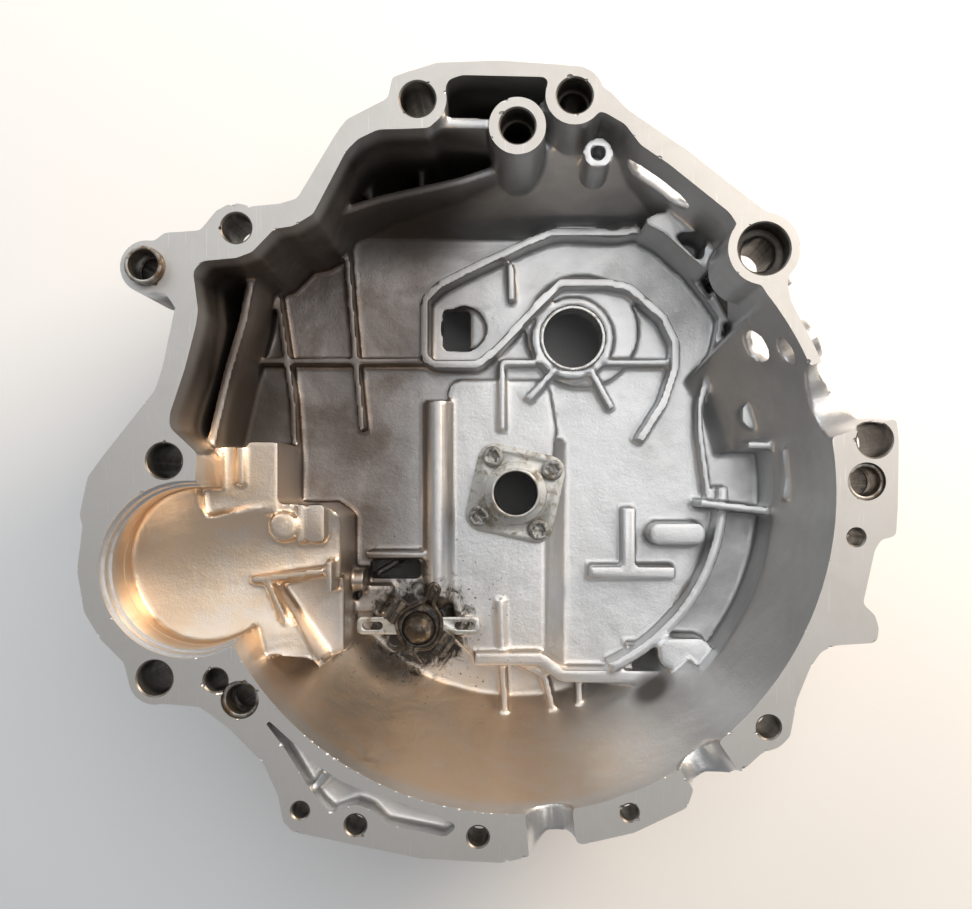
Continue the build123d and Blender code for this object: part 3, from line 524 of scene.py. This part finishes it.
def joined(pieces, name):
    bpy.ops.object.select_all(action="DESELECT")
    for piece in pieces:
        piece.select_set(True)
    bpy.context.view_layer.objects.active = pieces[0]
    bpy.ops.object.join()
    pieces[0].name = name
    return pieces[0]


def cut(piece, tool):
    """Cuts a tool's shape out of a piece and puts the tool away."""
    finish_with(piece, "BOOLEAN", operation="DIFFERENCE", solver="MANIFOLD", object=tool)
    bpy.data.objects.remove(tool)


def rounded_by_angle(piece, degrees=32.0):
    pick_only(piece)
    bpy.ops.object.shade_smooth_by_angle(angle=math.radians(degrees))


def eased_fitting(node, name, width, material):
    """A fitting with its CAD shape, its sharp edges eased by a small bevel."""
    piece = cad_copy(node, name)
    bpy.ops.object.mode_set(mode="EDIT")
    bpy.ops.mesh.select_all(action="SELECT")
    bpy.ops.mesh.dissolve_limited(angle_limit=math.radians(1.0))
    bpy.ops.object.mode_set(mode="OBJECT")
    finish_with(piece, "BEVEL", width=width, segments=2, limit_method="ANGLE",
                angle_limit=math.radians(35.0))
    rounded_by_angle(piece)
    mount_piece(piece, node, material)
    return piece


def mount_piece(piece, node, material):
    """Gives a piece its finish and lets it stand for a CAD node."""
    piece.data.materials.clear()
    piece.data.materials.append(material)
    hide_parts(node)
    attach(piece, "root")


def dress_node(node, material):
    """A CAD node that stays as it is, with a better finish."""
    for slot in frame["nodes"][node].material_slots:
        slot.material = material


# The casting

def rough_casting(sizes):
    """The casting with stock on its joint faces and every edge rounded."""
    piece = cad_copy("bell_casting", "housing_casting")
    lift_joint_faces(piece, sizes.stock)
    voxel = sizes.voxel
    finish_with(piece, "REMESH", mode="VOXEL", voxel_size=voxel, adaptivity=0.0)
    finish_with(piece, "SMOOTH", factor=0.5, iterations=sizes.passes)
    share = sizes.triangles / (2 * len(piece.data.polygons))
    if share < 1.0:
        finish_with(piece, "DECIMATE", ratio=share, use_collapse_triangulate=True)
    return piece


def lift_joint_faces(piece, stock):
    """Moves the two joint faces outwards by the stock that milling takes off."""
    for level, shift in ((FACE, stock), (0.0, -stock)):
        bpy.ops.object.mode_set(mode="EDIT")
        bpy.ops.mesh.select_mode(type="VERT")
        bpy.ops.mesh.select_all(action="DESELECT")
        bpy.ops.object.mode_set(mode="OBJECT")
        for vertex in piece.data.vertices:
            vertex.select = abs(vertex.co.z - level) < 0.1 * MM
        bpy.ops.object.mode_set(mode="EDIT")
        bpy.ops.transform.translate(value=(0, 0, shift))
        bpy.ops.object.mode_set(mode="OBJECT")


def milling_tool(stock):
    """Two slabs that leave flat joint faces."""
    slabs = []
    for level, side in ((FACE, 1), (0.0, -1)):
        thick = 4 * stock
        bpy.ops.object.select_all(action="DESELECT")
        bpy.ops.mesh.primitive_cube_add(size=1, location=(0, 0, level + side * thick / 2),
                                        scale=(SLAB_WIDTH, SLAB_WIDTH, thick))
        slabs.append(settle(bpy.context.object))
    return joined(slabs, "milling_tool")


def drill(name, sizes):
    """A drill for one bolt hole, with the cone that chamfers its mouth."""
    px, radius, length = BOLTS[name]
    foot, foot_depth = NARROW_FEET.get(name, (radius, length))
    mouth, mouth_depth = WIDE_MOUTHS.get(name, (radius, sizes.chamfer / MM))
    rings = [(foot, length + DRILL_OVERRUN), (foot, foot_depth), (radius, foot_depth),
             (radius, mouth_depth), (mouth, mouth_depth), (mouth, sizes.chamfer / MM),
             (mouth + sizes.chamfer / MM, 0.0), (mouth + sizes.chamfer / MM, -2.0)]
    return turned("drill_" + name, spot(px), below_face(rings), 56)


def below_face(rings):
    """Rings given as radius and depth in millimetres, as radius and height in metres."""
    steps = [(radius * MM, FACE - depth * MM) for radius, depth in rings]
    return [step for i, step in enumerate(steps) if i == 0 or step != steps[i - 1]]


def middle(node):
    """The upright axis, radius, foot and top of a round CAD node."""
    low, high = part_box(node)
    centre = ((low[0] + high[0]) / 2, (low[1] + high[1]) / 2)
    return centre, (high[0] - low[0]) / 2, low[2], high[2]


def drills(sizes):
    """Every drill of the engine side, and the cutter of the starter recess's steps."""
    tools = [drill(name, sizes) for name in BOLTS]
    for node in sorted(frame["nodes"]):
        if node.startswith("dowel_sleeve"):
            centre, radius, foot, top = middle(node)
            bore = DOWEL_BORE * MM
            low = FACE - (DOWEL_BOSS_LENGTH + DRILL_OVERRUN) * MM
            seat = radius + SEAT_GAP
            tools.append(turned("seat_" + node, centre, [
                (bore, low), (bore, foot), (seat, foot), (seat, FACE + 2 * MM)], 64))
    rings = []
    for radius, depth in reversed(STARTER_STEPS):
        rings += [(radius, depth)]
        rings += [(radius, upper_edge(radius))]
    tools.append(turned("starter_cutter", spot(STARTER_PX), below_face(rings), 160))
    return joined(tools, "drills")


def upper_edge(radius):
    """Depth at which a step of the starter recess begins, above the face for the first."""
    radii = [step[0] for step in STARTER_STEPS]
    place = radii.index(radius)
    return STARTER_STEPS[place - 1][1] if place else -2.0


def flange_rim(piece):
    """Places on the edges of the milled engine joint face."""
    mesh = piece.data
    flat = set()
    steep = set()
    for polygon in mesh.polygons:
        on_face = all(mesh.vertices[i].co.z > FACE - 0.02 * MM for i in polygon.vertices)
        target = flat if on_face and polygon.normal.z > 0.99 else steep
        target.update(polygon.vertices)
    return [mesh.vertices[i].co.copy() for i in sorted(flat & steep)]


def lower_mouth(places):
    """Those of the places that lie on the lower left edge of the bell's mouth."""
    left, right = spot((300, 735)).x, spot((512, 815)).x
    return [place for place in places if left < place.x < right and place.y < 0
            and abs(place.xy.length - BELL_RADIUS) < 3 * MM]


def chip_tool(places, count, size, rng):
    """Small ragged balls along an edge, each well clear of the next."""
    chosen = []
    for place in rng.sample(places, len(places)):
        if len(chosen) == count:
            break
        if all((place - other).length > 4.5 * size for other in chosen):
            chosen.append(place)
    balls = []
    for place in chosen:
        share = rng.uniform(0.35, 1.0) ** 2
        radius = size * (0.3 + 0.7 * share)
        drop = radius * rng.uniform(-0.1, 0.45)
        bpy.ops.object.select_all(action="DESELECT")
        bpy.ops.mesh.primitive_ico_sphere_add(
            subdivisions=2, radius=radius, location=place + Vector((0, 0, drop)),
            rotation=(rng.uniform(0, 3), rng.uniform(0, 3), 0),
            scale=(rng.uniform(0.8, 2.2), 1.0, rng.uniform(0.6, 1.0)))
        balls.append(settle(bpy.context.object))
    return joined(balls, "chips")


def sort_faces(piece, sizes):
    """Gives milled faces and drilled walls their own material slots."""
    mesh = piece.data
    bores = []
    for name, (px, radius, length) in BOLTS.items():
        mouth = WIDE_MOUTHS.get(name, (radius, 0.0))[0]
        bores.append((spot(px).xy, mouth * MM + sizes.chamfer))
    for node in frame["nodes"]:
        if node.startswith("dowel_sleeve"):
            centre, radius, foot, top = middle(node)
            bores.append((Vector(centre), radius + SEAT_GAP))
    margin = 0.15 * MM
    for polygon in mesh.polygons:
        centre = polygon.center
        if centre.z > FACE - FACE_TOLERANCE and polygon.normal.z > 0.99:
            polygon.material_index = 1
        elif centre.z < FACE_TOLERANCE and polygon.normal.z < -0.99:
            polygon.material_index = 1
        elif centre.z > FACE - BORE_DEPTH:
            flat = Vector(centre[:2])
            for axis, radius in bores:
                if (flat - axis).length < radius + margin:
                    polygon.material_index = 2
                    break


def note_shelter(piece, rng):
    """Notes on each vertex how blocked its view is and how sharp the edge there is."""
    mesh = piece.data
    count = len(mesh.vertices)
    places = np.empty(count * 3)
    mesh.vertices.foreach_get("co", places)
    places = places.reshape(-1, 3)
    normals = np.empty(count * 3)
    mesh.vertices.foreach_get("normal", normals)
    normals = normals.reshape(-1, 3)
    ends = np.empty(len(mesh.edges) * 2, dtype=np.int64)
    mesh.edges.foreach_get("vertices", ends)
    ends = ends.reshape(-1, 2)
    edge = edge_sharpness(places, normals, ends)
    blocked = blocked_share(piece, places, normals, rng)
    for _ in range(2):
        blocked = neighbour_mean(blocked, ends)
    for name, values in (("edge", edge), ("blocked", blocked)):
        layer = mesh.attributes.new(name, "FLOAT", "POINT")
        layer.data.foreach_set("value", values.astype(np.float32))


def neighbour_mean(values, ends):
    total = values.copy()
    number = np.ones(len(values))
    for here, there in ((0, 1), (1, 0)):
        np.add.at(total, ends[:, here], values[ends[:, there]])
        np.add.at(number, ends[:, here], 1)
    return total / number


def edge_sharpness(places, normals, ends):
    """How far each vertex stands out of its neighbours, as a share of their distance."""
    away = places[ends[:, 0]] - places[ends[:, 1]]
    length = np.linalg.norm(away, axis=1) + 1e-9
    total = np.zeros(len(places))
    number = np.zeros(len(places))
    for here, sign in ((0, 1.0), (1, -1.0)):
        rise = sign * np.einsum("ij,ij->i", away, normals[ends[:, here]]) / length
        np.add.at(total, ends[:, here], rise)
        np.add.at(number, ends[:, here], 1)
    return np.clip(total / np.maximum(number, 1), 0.0, 1.0)


def blocked_share(piece, places, normals, rng):
    """Share of the directions above each vertex that the casting itself blocks."""
    tree = BVHTree.FromPolygons([v.co for v in piece.data.vertices],
                                [p.vertices for p in piece.data.polygons])
    directions = []
    while len(directions) < SHELTER_WAYS:
        way = Vector((rng.gauss(0, 1), rng.gauss(0, 1), rng.gauss(0, 1)))
        directions.append(way.normalized())
    blocked = np.zeros(len(places))
    for i, (place, normal) in enumerate(zip(places, normals)):
        up = Vector(normal)
        start = Vector(place) + up * 0.4 * MM
        hits = 0
        for k in range(SHELTER_RAYS):
            way = directions[(i * 7 + k * 4) % SHELTER_WAYS]
            way = (way + up * SHELTER_SPREAD).normalized()
            if tree.ray_cast(start, way, SHELTER_REACH)[0] is not None:
                hits += 1
        blocked[i] = hits / SHELTER_RAYS
    return blocked


# Operators

class HOUSING_OT_casting(bpy.types.Operator):
    """Rounds, mills, drills and knocks the casting, and gives it its finishes"""
    bl_idname = "housing.casting"
    bl_label = "Finish the Casting"

    def execute(self, context):
        sizes = context.scene.housing_sizes
        colours = context.scene.housing_colours
        rng = random.Random(7)
        piece = rough_casting(sizes)
        cut(piece, milling_tool(sizes.stock))
        cut(piece, drills(sizes))
        rim = flange_rim(piece)
        cut(piece, chip_tool(rim, sizes.chips, sizes.chip_size, rng))
        cut(piece, chip_tool(lower_mouth(rim), sizes.nicks, sizes.chip_size * 0.8, rng))
        rounded_by_angle(piece)
        mount_piece(piece, "bell_casting", cast_skin(colours))
        piece.data.materials.append(milled_face(colours))
        piece.data.materials.append(drilled_bore(colours))
        sort_faces(piece, sizes)
        note_shelter(piece, rng)
        return {"FINISHED"}


class HOUSING_OT_dowels(bpy.types.Operator):
    """Puts the three stained dowel sleeves in the joint face"""
    bl_idname = "housing.dowels"
    bl_label = "Fit the Dowel Sleeves"

    def execute(self, context):
        width = context.scene.housing_sizes.edge
        steel = stained_steel("dowel_steel", (0.42, 0.40, 0.37), (0.16, 0.11, 0.07), 0.36, 0.6)
        for node in sorted(frame["nodes"]):
            if node.startswith("dowel_sleeve"):
                name = node.replace("dowel_sleeve", "dowel_ring")
                eased_fitting(node, name, width * 1.6, steel)
        return {"FINISHED"}


class HOUSING_OT_lever_pivot(bpy.types.Operator):
    """Puts the ball stud, its strap, the moulded saddle and the wire clip in place"""
    bl_idname = "housing.lever_pivot"
    bl_label = "Fit the Lever Pivot"

    def execute(self, context):
        width = context.scene.housing_sizes.edge
        strap = stained_steel("strap_steel", (0.60, 0.59, 0.56), (0.26, 0.22, 0.17), 0.34, 0.3)
        dark = stained_steel("greasy_steel", (0.20, 0.18, 0.16), (0.05, 0.04, 0.03), 0.25, 0.9,
                             0.8)
        eased_fitting("stud_strap", "pivot_strap", width, strap)
        eased_fitting("lever_saddle", "pivot_saddle", width * 1.8, greasy_moulding())
        dress_node("release_ball_stud", dark)
        dress_node("lever_spring_clip", dark)
        return {"FINISHED"}


class HOUSING_OT_guide(bpy.types.Operator):
    """Puts the release bearing's guide sleeve and its four screws in place"""
    bl_idname = "housing.guide"
    bl_label = "Fit the Guide Sleeve"

    def execute(self, context):
        width = context.scene.housing_sizes.edge
        plate = stained_steel("guide_metal", (0.56, 0.55, 0.52), (0.30, 0.27, 0.22), 0.38, 0.4)
        screws = stained_steel("screw_steel", (0.34, 0.33, 0.31), (0.13, 0.11, 0.09), 0.32, 0.5)
        eased_fitting("guide_sleeve", "guide_plate", width, plate)
        eased_fitting("guide_sleeve_screws", "guide_screws", width * 0.7, screws)
        return {"FINISHED"}


class HOUSING_OT_linings(bpy.types.Operator):
    """Gives the bore sleeve, the bearing race and the seal their finishes"""
    bl_idname = "housing.linings"
    bl_label = "Fit the Linings"

    def execute(self, context):
        width = context.scene.housing_sizes.edge
        ground = stained_steel("ground_steel", (0.58, 0.57, 0.55), (0.34, 0.30, 0.25), 0.24,
                               0.3)
        eased_fitting("shaft_bore_sleeve", "bore_lining", width, ground)
        eased_fitting("input_bearing_race", "bearing_ring", width, ground)
        dress_node("input_shaft_seal", seal_rubber())
        return {"FINISHED"}


def add_light(name, place, size, power, colour):
    lamp = bpy.data.lights.new(name, "AREA")
    lamp.shape = "SQUARE"
    lamp.size = size
    lamp.energy = power
    lamp.color = colour
    light = bpy.data.objects.new(name, lamp)
    light.location = place
    light.rotation_euler = (Vector((0, 0, FACE / 2)) - light.location).to_track_quat(
        "-Z", "Y").to_euler()
    bpy.context.scene.collection.objects.link(light)


class HOUSING_OT_stage(bpy.types.Operator):
    """Lays the plain floor, hangs the lights and sets the camera over the joint face"""
    bl_idname = "housing.stage"
    bl_label = "Set the Stage"

    def execute(self, context):
        stage = context.scene.housing_stage
        bpy.ops.object.select_all(action="DESELECT")
        bpy.ops.mesh.primitive_plane_add(size=FLOOR_WIDTH, location=(0, 0, -0.5 * MM))
        floor = settle(context.object)
        floor.name = "floor"
        floor.data.materials.append(plain_floor(stage.floor_colour))
        add_light("ceiling", (0.45, 0.55, 1.9), 1.5, stage.ceiling_power, (1.0, 0.99, 0.98))
        add_light("window", (-0.75, 0.85, 0.85), 1.0, stage.window_power, (0.93, 0.97, 1.0))
        add_light("lamp", (0.90, 0.75, 0.75), 0.55, stage.lamp_power, (1.0, 0.82, 0.63))
        world = bpy.data.worlds.new("soft_room")
        world.use_nodes = True
        room = world.node_tree.nodes["Background"]
        room.inputs["Color"].default_value = (0.80, 0.82, 0.85, 1.0)
        room.inputs["Strength"].default_value = 0.30
        context.scene.world = world
        self.set_camera(context)
        context.scene.view_settings.view_transform = "Standard"
        return {"FINISHED"}

    def set_camera(self, context):
        camera = bpy.data.cameras.new("camera")
        eye = bpy.data.objects.new("camera", camera)
        context.scene.collection.objects.link(eye)
        eye.location = (0, 0, FACE + EYE_HEIGHT)
        width_px, height_px = IMAGE_PX
        camera.sensor_width = SENSOR_MM
        camera.lens = SENSOR_MM * EYE_HEIGHT / (width_px * BELL_RADIUS / BELL_RADIUS_PX)
        camera.shift_x = (width_px / 2 - AXIS_PX[0]) / width_px
        camera.shift_y = (AXIS_PX[1] - height_px / 2) / width_px
        context.scene.camera = eye


class HOUSING_PT_panel(bpy.types.Panel):
    """The housing's sizes, colours and steps"""
    bl_label = "Clutch Housing"
    bl_idname = "HOUSING_PT_panel"
    bl_space_type = "VIEW_3D"
    bl_region_type = "UI"
    bl_category = "Housing"

    def draw(self, context):
        scene = context.scene
        for group in (scene.housing_sizes, scene.housing_colours, scene.housing_stage):
            box = self.layout.box()
            for name in type(group).__annotations__:
                box.prop(group, name)
        for step in STEPS:
            self.layout.operator(step.bl_idname)


GROUPS = {"housing_sizes": HousingSizes, "housing_colours": HousingColours,
          "housing_stage": StageSettings}
STEPS = (HOUSING_OT_casting, HOUSING_OT_dowels, HOUSING_OT_lever_pivot, HOUSING_OT_guide,
         HOUSING_OT_linings, HOUSING_OT_stage)


def register():
    for name, group in GROUPS.items():
        bpy.utils.register_class(group)
        setattr(bpy.types.Scene, name, PointerProperty(type=group))
    for step in STEPS:
        bpy.utils.register_class(step)
    bpy.utils.register_class(HOUSING_PT_panel)


def unregister():
    bpy.utils.unregister_class(HOUSING_PT_panel)
    for step in reversed(STEPS):
        bpy.utils.unregister_class(step)
    for name, group in GROUPS.items():
        delattr(bpy.types.Scene, name)
        bpy.utils.unregister_class(group)


def main():
    register()
    bpy.ops.housing.casting()
    bpy.ops.housing.dowels()
    bpy.ops.housing.lever_pivot()
    bpy.ops.housing.guide()
    bpy.ops.housing.linings()
    bpy.ops.housing.stage()


if __name__ == "__main__":
    main()
